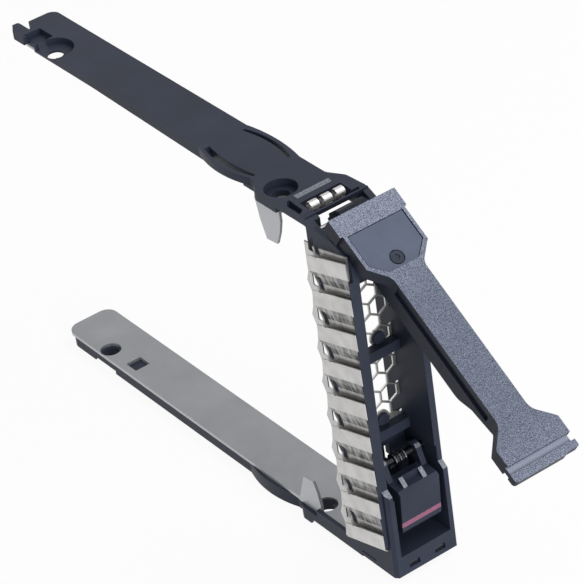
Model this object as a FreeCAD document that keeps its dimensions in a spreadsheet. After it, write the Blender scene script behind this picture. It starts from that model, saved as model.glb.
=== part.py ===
"""Hot swap carrier for a 2.5 inch server drive, with its lever swung open.

The carrier stands on its lower rail. +X runs across the carrier, +Y runs back
along the rails and +Z is up. The origin lies on the resting plane, below the
middle of the bezel and halfway between the two drive screws of the rail.
Every piece is drawn in the carrier's layout: x from the outer edge of the
rails, y from the front screw and z from the resting plane. Its Placement then
moves it to the origin.
"""

import FreeCAD
import Part
import Sketcher

import math
import operator
import os
from types import SimpleNamespace

from FreeCAD import Placement, Rotation, Vector

SIZES = (
    ("hole_spacing", 76.6, "between the two drive screws of a rail"),
    ("hole_edge", 2.33, "screw line from the rail's outer edge"),
    ("hole_radius", 1.7, "clearance hole for an M3 screw"),
    ("head_radius", 2.3, "hole in the steel that clears a screw head"),
    ("bay_height", 70.4, "between the rails, drive width plus clearance"),
    ("plate_thick", 0.7, "steel plate of a rail"),
    ("rail_thick", 2.9, "plastic of a rail"),
    ("rail_width", 11.35, "rail across the drive"),
    ("rail_rear", 90.5, "rear end of the rails from the front screw"),
    ("side_inset", 0.45, "plastic side behind the plate's edge"),
    ("recess_radius", 4.3, "round recess over a rear screw"),
    ("recess_deep", 1.25, "that recess in the upper rail"),
    ("recess_floor", 0.5, "plastic left below it"),
    ("pocket_radius", 3.3, "round recess over the front screw"),
    ("pocket_deep", 1.6, "that recess from the rail's top"),
    ("edge_height", 1.75, "thin left edge of the upper rail"),
    ("edge_relief", 1.75, "cut back under that edge"),
    ("bezel_left", -0.97, "outer face of the bezel's strip side"),
    ("bezel_right", 13.76, "outer face of the bezel's other side"),
    ("bezel_wall", 1.4, "side walls of the bezel"),
    ("bezel_bottom", 1.5, "underside of the button block"),
    ("back_thick", 1.4, "wall behind the button"),
    ("wall_front", -24.9, "front edge of the side walls"),
    ("wall_rear", -13.5, "rear edge of the strip's wall"),
    ("plain_wall_rear", -11.4, "rear edge of the other wall"),
    ("wall_arch", 2.4, "radius between a wall's rear edge and the rail"),
    ("wall_lip", 0.75, "lip of the wall's front edge beside the fingers"),
    ("block_front", -26.3, "front face of the button block"),
    ("block_top", 20.6, "shoulder of the button block"),
    ("block_rise", 1.2, "slope from the shoulder up to the wall's front edge"),
    ("lug_front", -2.4, "front edge of the upper plate's side lug"),
    ("spring_seat", -8.6, "front edge of the seat under the top spring"),
    ("curl_radius", 1.1, "rolled curls of the top spring"),
    ("curl_width", 1.9, "each curl across the carrier"),
    ("rail_seam", -10.6, "joint of the upper rail and the bezel"),
    ("foot_seam", -15.5, "joint of the lower rail and the bezel"),
    ("bar_height", 2.2, "cross bars over the screen"),
    ("bar_rise", 18.2, "from one cross bar to the next"),
    ("bar_top", 46.9, "top of the middle cross bar"),
    ("bar_depth", 2.1, "cross bars front to back"),
    ("screen_rear", -15.2, "rear face of the honeycomb screen"),
    ("screen_thick", 0.4, "sheet of the honeycomb screen"),
    ("cell_pitch", 3.87, "honeycomb cell to cell"),
    ("cell_web", 0.35, "metal left between two cells"),
    ("cell_middle", 9.97, "middle column of cells"),
    ("cell_level", 54.7, "a row of the middle column"),
    ("stake_radius", 1.3, "heat stake through the screen"),
    ("stake_ring", 0.5, "metal ring of the screen round a stake"),
    ("stake_across", 9.0, "middle stake across the carrier"),
    ("finger_pitch", 7.745, "one spring finger to the next"),
    ("finger_height", 3.5, "flat band of a finger"),
    ("finger_bottom", 67.1, "lower edge of the top band at the rear"),
    ("finger_rear", -12.7, "rear end of the bands"),
    ("finger_run", 12.15, "length of the bands"),
    ("finger_rise", 3.3, "rise of a band over its length"),
    ("finger_reach", 1.05, "bands out from the bezel's face"),
    ("strip_thick", 0.25, "stainless sheet of the strip"),
    ("strip_foot", 8.4, "lowest point of the lip beside the strip"),
    ("pivot_back", -22.5, "lever pin along the carrier"),
    ("pivot_drop", 5.7, "lever pin below the top of the carrier"),
    ("pivot_radius", 1.0, "lever pin"),
    ("running_gap", 0.05, "radial clearance on a pin"),
    ("lever_open", 55.24, "degrees the lever stands open"),
    ("lever_front", 5.69, "lever's front face ahead of its pin"),
    ("lever_crown", 7.17, "lever's top edge above its pin"),
    ("lever_skin", 3.1, "front plate of the lever"),
    ("lever_draft", 0.55, "undercut of the neck's sides behind the front face"),
    ("lever_depth", 6.7, "lever front to back at its neck"),
    ("lever_left", -0.6, "left edge of the lever's panel"),
    ("lever_right", 13.4, "right edge of the lever's panel"),
    ("neck_left", 2.72, "left side of the neck"),
    ("neck_right", 9.91, "right side of the neck"),
    ("panel_deep", 0.5, "recess that holds the smooth panel"),
    ("rivet_across", 6.1, "rivet of the panel across the lever"),
    ("rivet_down", 11.9, "rivet below the lever's top edge"),
    ("stop_radius", 0.55, "pin the open lever rests on"),
    ("stop_back", -13.8, "that pin along the carrier"),
    ("stop_drop", 2.4, "that pin below the top of the carrier"),
    ("stop_length", 4.5, "that pin's length"),
    ("spring_wire", 0.24, "radius of the spring's wire"),
    ("spring_length", 2.8, "coil along the button pin"),
    ("latch_back", -20.0, "button pin along the carrier"),
    ("latch_rise", 23.3, "button pin above the resting plane"),
    ("latch_radius", 0.8, "button pin"),
    ("button_left", 2.2, "left side of the button"),
    ("button_right", 11.6, "right side of the button"),
    ("button_low", 10.4, "lower edge of the button's face"),
    ("button_high", 19.85, "upper edge of the button's face"),
    ("button_lean", 0.7, "lower edge of the face behind its upper edge"),
    ("stripe_low", 11.9, "lower edge of the colour stripe"),
    ("stripe_tall", 1.1, "height of the colour stripe"),
    ("inlay_deep", 0.3, "depth of the stripe's groove"),
)


JOINS = {"+": operator.add, "-": operator.sub, "*": operator.mul, "/": operator.truediv}


class Size:
    """A length with the formula that gives it from the sheet's cells."""

    def __init__(self, value, formula):
        self.value = value
        self.formula = formula

    def join(self, other, sign, swap=False):
        other = as_size(other)
        first, second = (other, self) if swap else (self, other)
        value = JOINS[sign](first.value, second.value)
        return Size(value, "(%s %s %s)" % (first.formula, sign, second.formula))

    def __add__(self, other):
        return self.join(other, "+")

    def __radd__(self, other):
        return self.join(other, "+", swap=True)

    def __sub__(self, other):
        return self.join(other, "-")

    def __rsub__(self, other):
        return self.join(other, "-", swap=True)

    def __mul__(self, other):
        return self.join(other, "*")

    def __rmul__(self, other):
        return self.join(other, "*", swap=True)

    def __truediv__(self, other):
        return self.join(other, "/")

    def __neg__(self):
        return self.join(-1, "*")


def as_size(number):
    if isinstance(number, Size):
        return number
    return Size(float(number), "%.9g" % number if number >= 0 else "(%.9g)" % number)


def make_sheet(doc):
    """Writes the driving dimensions to a sheet and gives them back as Sizes."""
    sheet = doc.addObject("Spreadsheet::Sheet", "Sizes")
    cells = SimpleNamespace()
    for row, (name, value, meaning) in enumerate(SIZES, start=1):
        sheet.set("A%d" % row, meaning)
        sheet.set("B%d" % row, str(value))
        sheet.setAlias("B%d" % row, name)
        setattr(cells, name, Size(value, "Sizes.%s" % name))
    doc.recompute()
    return cells


DOC = FreeCAD.newDocument("DriveCarrier")
SIZE = make_sheet(DOC)

FLAT = Rotation()
FACING_X = Rotation(Vector(1, 1, 1), 120)
FACING_FRONT = Rotation(Vector(1, 0, 0), 90)
ALONG_X = Rotation(Vector(0, 1, 0), 90)
ALONG_Y = Rotation(Vector(1, 0, 0), -90)


def bind(thing, setting, size):
    size = as_size(size)
    thing.setExpression(setting, size.formula)


def place(thing, at, rotation=FLAT):
    at = [as_size(part) for part in at]
    thing.Placement = Placement(Vector(*[part.value for part in at]), rotation)
    for axis, part in zip("xyz", at):
        bind(thing, "Placement.Base." + axis, part)


def box(name, x, y, z):
    """A block between two limits on each axis."""
    block = DOC.addObject("Part::Box", name)
    place(block, (x[0], y[0], z[0]))
    for setting, (low, high) in zip(("Length", "Width", "Height"), (x, y, z)):
        bind(block, setting, as_size(high) - low)
    return block


def rod(name, radius, length, at, rotation=FLAT):
    """A cylinder from a point along its turned axis."""
    solid = DOC.addObject("Part::Cylinder", name)
    bind(solid, "Radius", radius)
    bind(solid, "Height", length)
    place(solid, at, rotation)
    return solid


def round_corner(sketch, corner, lines, spots):
    """Joins two lines with an arc and gives the corner point that they aim at."""
    before, spot, after = spots
    radius = corner[2]
    towards = (before - spot).normalize()
    onwards = (after - spot).normalize()
    half = towards.getAngle(onwards) / 2
    middle = (towards + onwards).normalize()
    centre = spot + middle * (radius.value / math.sin(half))
    reach = radius.value / math.tan(half)
    ends = [spot + towards * reach - centre, spot + onwards * reach - centre]
    left_turn = (spot - before).cross(after - spot).z > 0
    angles = [math.atan2(end.y, end.x) for end in (ends if left_turn else reversed(ends))]
    if angles[1] < angles[0]:
        angles[1] += 2 * math.pi
    circle = Part.Circle(centre, Vector(0, 0, 1), radius.value)
    arc = sketch.addGeometry(Part.ArcOfCircle(circle, *angles))
    near, far = (1, 2) if left_turn else (2, 1)
    sketch.addConstraint(Sketcher.Constraint("Tangent", lines[0], 2, arc, near))
    sketch.addConstraint(Sketcher.Constraint("Tangent", arc, far, lines[1], 1))
    limit = sketch.addConstraint(Sketcher.Constraint("Radius", arc, radius.value))
    sketch.setExpression("Constraints[%d]" % limit, radius.formula)
    point = sketch.addGeometry(Part.Point(spot), True)
    for line in lines:
        sketch.addConstraint(Sketcher.Constraint("PointOnObject", point, 1, line))
    return point


def corner_reach(corner, before, spot, after):
    """How far from the corner its arc begins."""
    if len(corner) == 2:
        return 0
    return corner[2].value / math.tan((before - spot).getAngle(after - spot) / 2)


def outline(name, points, start, rotation):
    """A closed sketch tied to the sheet. A corner's third value is its radius."""
    corners = [[as_size(part) for part in point] for point in points]
    sketch = DOC.addObject("Sketcher::SketchObject", name)
    base = rotation.multVec(Vector(0, 0, 1))
    start = as_size(start)
    place(sketch, [start * part for part in base], rotation)
    count = len(corners)
    spots = [Vector(corner[0].value, corner[1].value, 0) for corner in corners]
    trios = [(spots[index - 1], spots[index], spots[(index + 1) % count]) for index in range(count)]
    reaches = [corner_reach(corner, *trio) for corner, trio in zip(corners, trios)]
    for index in range(count):
        after = (index + 1) % count
        along = (spots[after] - spots[index]).normalize()
        first = spots[index] + along * reaches[index]
        last = spots[after] - along * reaches[after]
        sketch.addGeometry(Part.LineSegment(first, last))
    for index, corner in enumerate(corners):
        lines = ((index - 1) % count, index)
        point = index
        if len(corner) == 2:
            sketch.addConstraint(Sketcher.Constraint("Coincident", lines[0], 2, lines[1], 1))
        else:
            point = round_corner(sketch, corner, lines, trios[index])
        for kind, part in (("DistanceX", corner[0]), ("DistanceY", corner[1])):
            limit = sketch.addConstraint(Sketcher.Constraint(kind, -1, 1, point, 1, part.value))
            sketch.setExpression("Constraints[%d]" % limit, part.formula)
    return sketch


def prism(name, points, start, length, rotation=FLAT, slant=None):
    """The outline pushed straight out of its plane, or along a slant."""
    solid = DOC.addObject("Part::Extrusion", name)
    solid.Base = outline(name + "_outline", points, start, rotation)
    solid.DirMode = "Custom"
    solid.Dir = slant or rotation.multVec(Vector(0, 0, 1))
    bind(solid, "LengthFwd", length)
    solid.Solid = True
    return solid


def side_prism(name, points, x):
    """A profile seen from the side, given as (y, z), from x[0] to x[1]."""
    return prism(name, points, x[0], as_size(x[1]) - x[0], FACING_X)


def plan_prism(name, points, z):
    """A profile seen from above, given as (x, y), from z[0] to z[1]."""
    return prism(name, points, z[0], as_size(z[1]) - z[0])


def front_prism(name, points, y):
    """A profile seen from the front, given as (x, z), from y[0] back to y[1]."""
    return prism(name, points, -as_size(y[1]), as_size(y[1]) - y[0], FACING_FRONT)


def fuse(name, *solids):
    joined = DOC.addObject("Part::MultiFuse", name)
    joined.Shapes = list(solids)
    joined.Refine = True
    return joined


def cut(name, base, *tools):
    result = DOC.addObject("Part::Cut", name)
    result.Base = base
    result.Tool = tools[0] if len(tools) == 1 else fuse(name + "_tools", *tools)
    result.Refine = True
    return result


def common(name, first, second):
    result = DOC.addObject("Part::Common", name)
    result.Base = first
    result.Tool = second
    return result


NODES = []
SPRING_TURNS = 5
SPRING_STEPS = 12


def finish(solid, label, at=(0, 0, 0), rotation=FLAT):
    """Names the finished piece and moves it from the layout to the origin."""
    middle = (SIZE.bezel_left + SIZE.bezel_right) * 0.5
    node = DOC.addObject("Part::Refine", "Node")
    node.Source = solid
    node.Label = label
    place(node, (at[0] - middle, at[1] - SIZE.hole_spacing * 0.5, at[2]), rotation)
    NODES.append(node)
    return node


STACK = SIZE.plate_thick + SIZE.rail_thick
BAY_TOP = STACK + SIZE.bay_height
TOP = BAY_TOP + STACK
INNER_LEFT = SIZE.bezel_left + SIZE.bezel_wall
INNER_RIGHT = SIZE.bezel_right - SIZE.bezel_wall
SIDE = SIZE.side_inset
PIVOT_RISE = TOP - SIZE.pivot_drop


def flexure(name, side, z, bulge):
    """The bowed edge strip of a rail and the lens slot behind it."""
    slot_z = (z[0] - 1, z[1] + 1)
    if side < 0:
        edge = SIDE
        bow = rod(name + "_bow", 24.2 + bulge, z[1] - z[0], (edge + 23.5, 15.4, z[0]))
        keep = box(name + "_keep", (edge - 3, edge + 1.5), (6.0, 24.8), z)
        slot = rod(name + "_slot", 24.2, z[1] - z[0] + 2, (edge + 23.5, 15.4, slot_z[0]))
        reach = box(name + "_reach", (edge - 2, edge + 1.4), (7.0, 22.0), slot_z)
        core = rod(name + "_core", 42.0, z[1] - z[0] + 4, (edge + 42.7, 14.4, z[0] - 2))
    else:
        edge = SIZE.rail_width
        bow = rod(name + "_bow", 39.8 + bulge, z[1] - z[0], (edge - 39.7, 14.5, z[0]))
        keep = box(name + "_keep", (edge - 1, edge + 2), (6.2, 22.8), z)
        slot = rod(name + "_slot", 24.0, z[1] - z[0] + 2, (edge - 23.95, 14.6, slot_z[0]))
        reach = box(name + "_reach", (edge - 2.4, edge + 1), (7.2, 22.0), slot_z)
        core = rod(name + "_core", 27.7, z[1] - z[0] + 4, (edge - 28.5, 14.6, z[0] - 2))
    strip = common(name + "_strip", bow, keep)
    lens = cut(name + "_lens", common(name + "_inside", slot, reach), core)
    return strip, lens


def upper_rail_outline():
    left = SIZE.bezel_left
    right = SIZE.bezel_right
    rear = SIZE.rail_rear
    return (
        (left, SIZE.rail_seam),
        (right - 0.06, SIZE.rail_seam),
        (right - 0.36, -5.6, 2.0),
        (SIZE.rail_width, -2.0, 2.0),
        (SIZE.rail_width, rear, 1.9),
        (5.0, rear),
        (3.9, rear - 2.5),
        (3.35, rear - 2.9),
        (3.35, rear + 1.3, 0.6),
        (1.9, rear + 1.3),
        (SIDE, rear - 1.1),
        (SIDE, 5.6),
        (left, 4.2, 2.0),
    )


def spring_window(name, low):
    """The opening round the top contact spring, clear through ahead of its seat."""
    x = (1.5, 10.9)
    shallow = box(name, x, (SIZE.rail_seam - 1, -7.0), (TOP - 1.7, TOP + 1))
    through = box(name + "Through", x, (SIZE.rail_seam - 1, SIZE.spring_seat), (low - 1, TOP + 1))
    return fuse(name + "Whole", shallow, through)


def edge_relief(low):
    """What is taken away under the upper rail's thin left edge."""
    edge = TOP - SIZE.edge_height
    rear = side_prism(
        "RearRelief",
        (
            (SIZE.rail_rear + 3, low - 1),
            (SIZE.rail_rear + 3, edge),
            (SIZE.rail_rear - 30, edge),
            (20.0, edge - 1.0),
            (5.5, edge - 1.0),
            (5.5, low - 1),
        ),
        (SIDE - 4, SIDE + SIZE.edge_relief),
    )
    front = box(
        "FrontRelief",
        (SIZE.bezel_left - 1, SIZE.bezel_left + SIZE.edge_relief),
        (SIZE.rail_seam - 1, SIZE.lug_front - 0.2),
        (low - 1, edge),
    )
    return rear, front


def screw_well(low):
    """The recess, thin floor and hole over the rear screw of the upper rail."""
    spot = (SIZE.hole_edge, SIZE.hole_spacing)
    floor_top = TOP - SIZE.recess_deep
    floor_low = floor_top - SIZE.recess_floor
    return (
        rod("UpperRecess", SIZE.recess_radius, 4, (spot[0], spot[1] + 0.5, floor_top)),
        rod("UpperUnder", 3.9, floor_low - low + 1, (spot[0], spot[1], low - 1)),
        rod("UpperScrew", SIZE.hole_radius, 8, (spot[0], spot[1], low - 1)),
    )


def make_upper_rail():
    low = BAY_TOP + SIZE.plate_thick
    left = SIZE.bezel_left
    rear = SIZE.rail_rear
    body = plan_prism("UpperBody", upper_rail_outline(), (low, TOP))
    strip_left, lens_left = flexure("UpperLeft", -1, (TOP - SIZE.edge_height, TOP), 0.75)
    strip_right, lens_right = flexure("UpperRight", 1, (low, TOP), 0.8)
    ledge = side_prism(
        "SpringLedge",
        ((-4.4, TOP - 1), (-4.4, TOP + 0.25), (-6.5, TOP - 0.15), (-6.5, TOP - 1)),
        (2.1, 10.2),
    )
    solid = fuse("UpperSolid", body, strip_left, strip_right, ledge)
    pocket_floor = TOP - SIZE.pocket_deep
    slots = (
        cut("LeftLens", lens_left, box("LensFloor", (SIDE - 4, SIDE + 4), (0, 30), (low - 3, low))),
        lens_right,
    )
    pockets = (
        rod("UpperPocket", SIZE.pocket_radius, 4, (SIZE.hole_edge, -0.2, pocket_floor)),
        rod("PocketScrew", SIZE.hole_radius, 8, (SIZE.hole_edge, 0, low - 1)),
        box("UpperShelf", (SIDE + 0.7, 5.1), (rear - 9.2, rear - 4.1), (TOP - 1.2, TOP + 1)),
        box("UpperNotch", (SIDE - 1, SIDE + 1.2), (rear - 8.9, rear - 5.0), (low - 1, TOP + 1)),
        spring_window("SpringWindow", low),
        plan_prism(
            "EdgePocket",
            (
                (left + 0.25, -6.3),
                (0.3, -4.8),
                (0.85, -4.8),
                (0.55, -9.3),
                (left + 0.25, -10.2),
            ),
            (TOP - 1.3, TOP + 1),
        ),
    )
    tools = slots + pockets + screw_well(low) + edge_relief(low)
    return finish(cut("UpperRail", solid, *tools), "upper_rail")


def make_lower_rail():
    high = SIZE.rail_thick
    left = SIZE.bezel_left
    rear = SIZE.rail_rear
    body = plan_prism(
        "LowerBody",
        (
            (left, SIZE.foot_seam),
            (SIZE.bezel_right, SIZE.foot_seam),
            (SIZE.bezel_right, -9.0),
            (SIZE.bezel_right - 0.36, -5.6, 2.0),
            (SIZE.rail_width - 0.3, -2.0, 2.0),
            (SIZE.rail_width - 0.3, rear - 0.3, 2.7),
            (SIDE, rear - 0.3, 2.9),
            (SIDE, 5.6),
            (left, 4.2, 2.0),
        ),
        (0, high),
    )
    strip_left, lens_left = flexure("LowerLeft", -1, (0, high), 0.65)
    side_rim = box("LowerRim", (left, -0.1), (SIZE.foot_seam, -1.0), (1.2, 4.4))
    solid = fuse("LowerSolid", body, strip_left, side_rim)
    ahead = SIZE.foot_seam - 1
    tools = [
        lens_left,
        side_prism(
            "LowerStep",
            ((1.6, -1), (1.3, 0.2), (0.4, 1.2), (ahead, 1.2), (ahead, -1)),
            (left - 1, SIZE.bezel_right + 1),
        ),
        rod("LowerRecess", SIZE.recess_radius, 1.8, (SIZE.hole_edge, SIZE.hole_spacing, -1)),
        rod("LowerFrontRecess", 3.0, 2.8, (SIZE.hole_edge, 0, -1)),
    ]
    for name, y in (("LowerRearScrew", SIZE.hole_spacing), ("LowerFrontScrew", 0)):
        tools.append(rod(name, SIZE.hole_radius, high + 2, (SIZE.hole_edge, y, -1)))
    return finish(cut("LowerRail", solid, *tools), "lower_rail")


def make_upper_plate():
    low = BAY_TOP
    high = low + SIZE.plate_thick
    inset = SIDE + SIZE.edge_relief + 0.1
    sheet = plan_prism(
        "UpperSheet",
        (
            (1.6, SIZE.spring_seat + 0.4),
            (10.4, SIZE.spring_seat + 0.4),
            (10.4, SIZE.rail_rear - 2.5, 1.5),
            (inset, SIZE.rail_rear - 2.5),
            (inset, SIZE.hole_spacing + 5.4),
            (SIZE.hole_edge + 4.2, SIZE.hole_spacing + 5.4, 1.0),
            (SIZE.hole_edge + 4.2, SIZE.hole_spacing - 5.2, 1.0),
            (inset, SIZE.hole_spacing - 5.2),
            (inset, 7.0),
            (1.6, 6.0),
        ),
        (low, high),
    )
    lug = box("UpperLug", (-0.25, 2.5), (SIZE.lug_front, 5.3), (low, high))
    tab = side_prism(
        "UpperTab",
        (
            (5.3, high),
            (SIZE.lug_front, high),
            (SIZE.lug_front, low - 1.8),
            (-1.6, low - 4.6, 2.0),
            (-0.3, low - 7.5),
            (3.0, low - 7.8),
            (4.4, low - 4.0, 2.0),
        ),
        (-0.25, 0.3),
    )
    hole = rod("UpperSteelFront", SIZE.hole_radius, 3, (SIZE.hole_edge, 0, low - 1))
    return finish(cut("UpperPlate", fuse("UpperSteel", sheet, lug, tab), hole), "upper_rail_plate")


def make_lower_plate():
    low = SIZE.rail_thick
    high = STACK
    rear = SIZE.rail_rear
    wide = SIZE.rail_width
    front = SIZE.wall_rear + 0.1
    sheet = plan_prism(
        "LowerSheet",
        ((0, front), (wide, front), (wide, rear, 2.6), (0, rear, 2.9)),
        (low, high),
    )
    tab = side_prism(
        "LowerTab",
        (
            (6.0, low),
            (4.4, high + 3.3, 2.0),
            (3.2, high + 6.5),
            (0.0, high + 6.9),
            (-1.0, high + 4.4, 2.0),
            (-1.6, high + 1.6),
            (-1.6, low),
        ),
        (-0.1, 0.5),
    )
    flange = box("LowerFlange", (0, wide), (front, front + 0.6), (low, high + 3.0))
    hole_high = high + 1
    square = (SIZE.hole_spacing - 10.6, SIZE.hole_spacing - 7.0)
    holes = (
        rod("LowerSteelRear", SIZE.head_radius, 3, (SIZE.hole_edge, SIZE.hole_spacing, low - 1)),
        rod("LowerSteelFront", SIZE.head_radius, 3, (SIZE.hole_edge, 0, low - 1)),
        box("LowerSquare", (1.6, 5.2), square, (low - 1, hole_high)),
    )
    solid = fuse("LowerSteel", sheet, tab, flange)
    return finish(cut("LowerPlate", solid, *holes), "lower_rail_plate")


def bezel_wall(name, x, rear, arch):
    """One side wall of the bezel, from its foot to the joint at the upper rail."""
    seam = SIZE.rail_seam
    return side_prism(
        name,
        (
            (rear, 4.5),
            (rear, TOP - SIZE.edge_height, arch),
            (seam, TOP - SIZE.edge_height),
            (seam, TOP),
            (seam - 1.6, TOP - 0.3),
            (seam - 3.6, TOP - 1.3, 3.0),
            (seam - 5.8, TOP - 1.7),
            (seam - 9.0, TOP - 1.7, 3.0),
            (seam - 11.0, TOP - 2.6),
            (seam - 13.4, TOP - 4.2, 6.0),
            (SIZE.wall_front, TOP - 5.0),
            (SIZE.wall_front, SIZE.block_top + SIZE.block_rise),
            (SIZE.block_front, SIZE.block_top),
            (SIZE.block_front, SIZE.bezel_bottom),
            (SIZE.foot_seam, SIZE.bezel_bottom),
            (SIZE.foot_seam, 4.5),
        ),
        x,
    )


STAKES = (
    (SIZE.stake_across - 1.4, SIZE.bar_top - SIZE.bar_rise + SIZE.stake_radius - 0.2),
    (SIZE.stake_across, SIZE.bar_top + SIZE.stake_radius - 0.2),
)


def cross_bars(left, right):
    """The bars ahead of the screen and the stakes that hold it between them."""
    front = SIZE.screen_rear - SIZE.screen_thick - SIZE.bar_depth
    back = SIZE.screen_rear - SIZE.screen_thick
    solids = []
    for index, name in enumerate(("Lower", "Middle", "Upper")):
        high = SIZE.bar_top + SIZE.bar_rise * (index - 1)
        solids.append(box(name + "Bar", (left, right), (front, back), (high - SIZE.bar_height, high)))
    for x, z in STAKES:
        at = (x, back - 0.6, z)
        solids.append(rod("Stake", SIZE.stake_radius, SIZE.screen_thick + 1.0, at, ALONG_Y))
    return solids


def wall_lips():
    """The lip of the strip's wall that the ends of the spring bands lie over."""
    front = SIZE.wall_front
    lip = box(
        "WallLip",
        (SIZE.bezel_left - SIZE.wall_lip, SIZE.bezel_left + 0.3),
        (front, front + 0.35),
        (SIZE.strip_foot, TOP - 8.0),
    )
    return lip


def top_shelves(left, right):
    """The ledges inside the walls on which the joint of the upper rail lies."""
    seam = SIZE.rail_seam
    solid = bezel_wall("LeftShelfSide", (left + 0.3, 1.75), SIZE.plain_wall_rear, 0.5)
    reach = box("LeftShelfReach", (left, 2), (seam - 2.3, seam), (TOP - 8.0, TOP + 1))
    right_shelf = box("RightShelf", (10.9, right - 0.3), (seam - 5.4, seam), (TOP - 8.0, TOP - 1.3))
    return common("LeftShelf", solid, reach), right_shelf


def bezel_openings(left, right):
    """Everything that is cut from the bezel."""
    front = SIZE.block_front
    back = SIZE.wall_rear - SIZE.back_thick
    across = right - left + 2
    slit_y = (back - 1, SIZE.wall_rear + 1)
    window_z = (2.6, 3.8)
    window_y = (front - 1, front + 1.2)
    stop_x = INNER_LEFT - 0.9
    stop_at = (stop_x, SIZE.stop_back, TOP - SIZE.stop_drop)
    lever_at = (left + 0.5, SIZE.pivot_back, PIVOT_RISE)
    latch_at = (left + 0.5, SIZE.latch_back, SIZE.latch_rise)
    corner = ((left - 0.1, front + 0.9), (left - 0.1, front - 0.1), (left + 0.7, front - 0.1))
    return (
        box("ButtonPocket", (0.7, 12.7), (front - 1, back), (6.0, SIZE.latch_rise + 2.2)),
        box("FootNotch", (left - 1, right + 1), (SIZE.foot_seam, SIZE.plain_wall_rear + 2), (-1, 4.5)),
        rod("LeverBore", SIZE.pivot_radius, across, lever_at, ALONG_X),
        rod("LatchBore", SIZE.latch_radius, across, latch_at, ALONG_X),
        rod("StopBore", SIZE.stop_radius, SIZE.stop_length, stop_at, ALONG_X),
        box("SideLine", (left - 1, left + 0.3), (-20.0, SIZE.foot_seam), (2.5, 2.8)),
        box("SlitHigh", (7.6, 8.8), slit_y, (19.2, 22.9)),
        box("SlitLow", (8.4, 10.2), slit_y, (16.9, 20.1)),
        box("WindowLeft", (2.3, 4.9), window_y, window_z),
        box("WindowRight", (8.5, 11.1), window_y, window_z),
        plan_prism("CornerBevel", corner, (SIZE.bezel_bottom - 1, SIZE.block_top + 3)),
    )


def make_bezel():
    left = SIZE.bezel_left
    right = SIZE.bezel_right
    front = SIZE.block_front
    rear = SIZE.wall_rear
    back = rear - SIZE.back_thick
    seam = SIZE.rail_seam
    bar_y = (seam - 1.25, seam - 0.8)
    lower_bar = SIZE.bar_top - SIZE.bar_rise
    solids = [
        bezel_wall("BezelLeft", (left, INNER_LEFT), rear, SIZE.wall_arch),
        bezel_wall("BezelRight", (INNER_RIGHT, right), SIZE.plain_wall_rear, 0.5),
        wall_lips(),
        box("BezelFloor", (left, right), (front, SIZE.foot_seam), (SIZE.bezel_bottom, 6.0)),
        box("BezelBack", (left, right), (back, rear), (4.5, lower_bar - 0.5)),
        box("BackLedge", (left, right), (back - 0.9, back + 0.2), (24.6, lower_bar - 1.0)),
        box("BezelTopBar", (left, right), bar_y, (TOP - 0.85, TOP)),
        box("BezelLeftCheek", (left + 0.2, 0.7), (front, rear), (SIZE.bezel_bottom, SIZE.block_top - 1)),
        box("BezelRightCheek", (12.7, right - 0.2), (front, rear), (SIZE.bezel_bottom, SIZE.block_top - 1)),
    ]
    solids += cross_bars(left + 0.5, right - 0.5)
    solids += top_shelves(left, right)
    tools = bezel_openings(left, right)
    return finish(cut("Bezel", fuse("BezelSolid", *solids), *tools), "bezel_frame")


def make_screen():
    front = SIZE.screen_rear - SIZE.screen_thick
    low = SIZE.bar_top - SIZE.bar_rise - 1.0
    high = SIZE.bar_top + SIZE.bar_rise - 0.6
    sheet = box("ScreenSheet", (INNER_LEFT, INNER_RIGHT), (front, SIZE.screen_rear), (low, high))
    cells = []
    row_rise = SIZE.cell_pitch * (math.sqrt(3) / 2)
    radius = (SIZE.cell_pitch - SIZE.cell_web) * (1 / math.sqrt(3))
    for row in range(-7, 3):
        columns = (-2, -1, 0) if row % 2 == 0 else (-2.5, -1.5, -0.5, 0.5)
        for column in columns:
            cell = DOC.addObject("Part::Prism", "Cell")
            cell.Polygon = 6
            bind(cell, "Circumradius", radius)
            bind(cell, "Height", SIZE.screen_thick + 2)
            x = SIZE.cell_middle + SIZE.cell_pitch * column
            at = (x, front - 1, SIZE.cell_level + row_rise * row)
            place(cell, at, ALONG_Y.multiply(Rotation(Vector(0, 0, 1), 30)))
            cells.append(cell)
    rings = []
    holes = []
    for x, z in STAKES:
        ring_radius = SIZE.stake_radius + SIZE.stake_ring
        rings.append(rod("StakeRing", ring_radius, SIZE.screen_thick, (x, front, z), ALONG_Y))
        holes.append(rod("StakeHole", SIZE.stake_radius, 3, (x, front - 1, z), ALONG_Y))
    solid = fuse("ScreenRinged", cut("ScreenCells", sheet, *cells), *rings)
    return finish(cut("Screen", solid, *holes), "mesh_screen")


FINGERS = 9


def finger_low(number):
    """The level of a band's lower edge at its rear end, counted down from 0."""
    return SIZE.finger_bottom - SIZE.finger_pitch * number


def make_finger(number):
    """One shingled band and the curve that tucks in behind the band below."""
    face = SIZE.bezel_left - SIZE.strip_thick
    reach = SIZE.bezel_left - SIZE.finger_reach
    sheet = SIZE.strip_thick
    low = finger_low(number)
    high = low + SIZE.finger_height
    tuck = 0.8 if number == FINGERS - 1 else 3.9
    points = [
        (reach, low),
        (reach + 0.25, low - tuck * 0.33),
        (face - 0.15, low - tuck * 0.69),
        (face, low - tuck),
        (face + sheet, low - tuck),
        (face + sheet, low - tuck * 0.64),
        (reach + 0.25 + sheet, low - tuck * 0.28),
        (reach + sheet, low),
    ]
    if number >= 0:
        points += [(reach + sheet - 0.1, high), (reach - 0.1, high)]
    run = SIZE.finger_run
    rise = SIZE.finger_rise
    slant = Vector(0, -run.value, rise.value)
    length = math.hypot(run.value, rise.value)
    return prism("Finger", points, -SIZE.finger_rear, length, FACING_FRONT, slant)


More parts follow.
